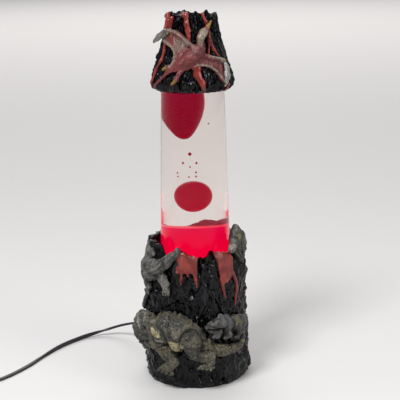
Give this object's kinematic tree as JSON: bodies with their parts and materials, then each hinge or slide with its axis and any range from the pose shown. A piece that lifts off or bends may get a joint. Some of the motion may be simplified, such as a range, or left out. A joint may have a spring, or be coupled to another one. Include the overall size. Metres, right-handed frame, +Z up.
{
  "type": "lava lamp",
  "caption": "Lava lamp: tapered glass globe with glowing red wax between a craggy rock base and a crater-shaped cap, both with prehistoric animals in relief, and a twin lead.",
  "frame": {"origin": "centre of the lamp's foot, on the table", "axes": "+Z up along the globe's axis, -Y towards the front, where the horned animal is, +X to the right seen from the front"},
  "size_m": [0.4143, 0.183, 0.4061],
  "materials": {
    "rock": "satin",
    "lava": "gloss",
    "horned_hide": "matte",
    "young_hide": "matte",
    "climber_hide": "matte",
    "hunter_hide": "matte",
    "flyer_skin": "satin",
    "spun_aluminium": "satin",
    "zinc_steel": "satin",
    "socket_plastic": "satin",
    "brass": "satin",
    "solder": "satin",
    "black_steel": "satin",
    "pad_rubber": "matte",
    "cord_rubber": "satin",
    "black_plastic": "satin",
    "wheel_plastic": "satin",
    "bulb_envelope": "gloss",
    "tungsten": "matte",
    "globe_glass": "polished",
    "crown_metal": "satin",
    "liner": "matte",
    "liquid": "polished",
    "glowing_wax": "satin",
    "wax": "satin",
    "spring_steel": "satin"
  },
  "bodies": {
    "base": {"base_rock": "rock", "base_lava": "lava", "horned_animal": "horned_hide", "young_animal": "young_hide", "left_climber": "climber_hide", "right_hunter": "hunter_hide", "globe_cup": "spun_aluminium", "socket_bracket": "zinc_steel", "bracket_screws": "zinc_steel", "socket_body": "socket_plastic", "socket_shell": "brass", "socket_contact": "brass", "bottom_plate": "black_steel", "bottom_screws": "zinc_steel", "foot_pads": "pad_rubber", "strain_relief": "cord_rubber", "inner_leads": "cord_rubber", "cord_lead": "cord_rubber", "cord_link": "cord_rubber", "cord_coil": "cord_rubber", "cord_tail": "cord_rubber", "switch_lower": "black_plastic", "switch_upper": "black_plastic", "switch_screws": "zinc_steel", "wheel_pin": "zinc_steel", "plug_body": "black_plastic", "plug_blades": "brass"},
    "bulb": {"bulb_base": "brass", "bulb_contact": "solder", "bulb_glass": "bulb_envelope", "bulb_stem": "bulb_envelope", "filament": "tungsten"},
    "globe": {"globe_glass": "globe_glass", "crown_cap": "crown_metal", "cap_liner": "liner", "clear_liquid": "liquid", "wax_pool": "glowing_wax", "hanging_wax": "wax", "wax_droplets": "wax", "heating_coil": "spring_steel"},
    "rising_wax": {"wax_blob": "wax"},
    "cap": {"cap_rock": "rock", "cap_lava": "lava", "flying_animal": "flyer_skin"},
    "wheel": {"thumbwheel": "wheel_plastic"}
  },
  "joints": [
    {"name": "globe_lift", "type": "slide", "parent": "base", "child": "globe", "axis": [0, 0, 1], "range_m": [0, 0.2]},
    {"name": "cap_lift", "type": "slide", "parent": "globe", "child": "cap", "axis": [0, 0, 1], "range_m": [0, 0.08]},
    {"name": "wax_rise", "type": "slide", "parent": "globe", "child": "rising_wax", "axis": [0, 0, 1], "range_m": [0, 0.045]},
    {"name": "bulb_unscrew", "type": "hinge", "parent": "base", "child": "bulb", "pos_m": [0, 0, 0.034], "axis": [0, 0, 1], "range_deg": [0, 1620]},
    {"name": "switch_roll", "type": "hinge", "parent": "base", "child": "wheel", "pos_m": [-0.294, -0.052, 0.0115], "axis": [0, 1, 0], "continuous": true}
  ]
}
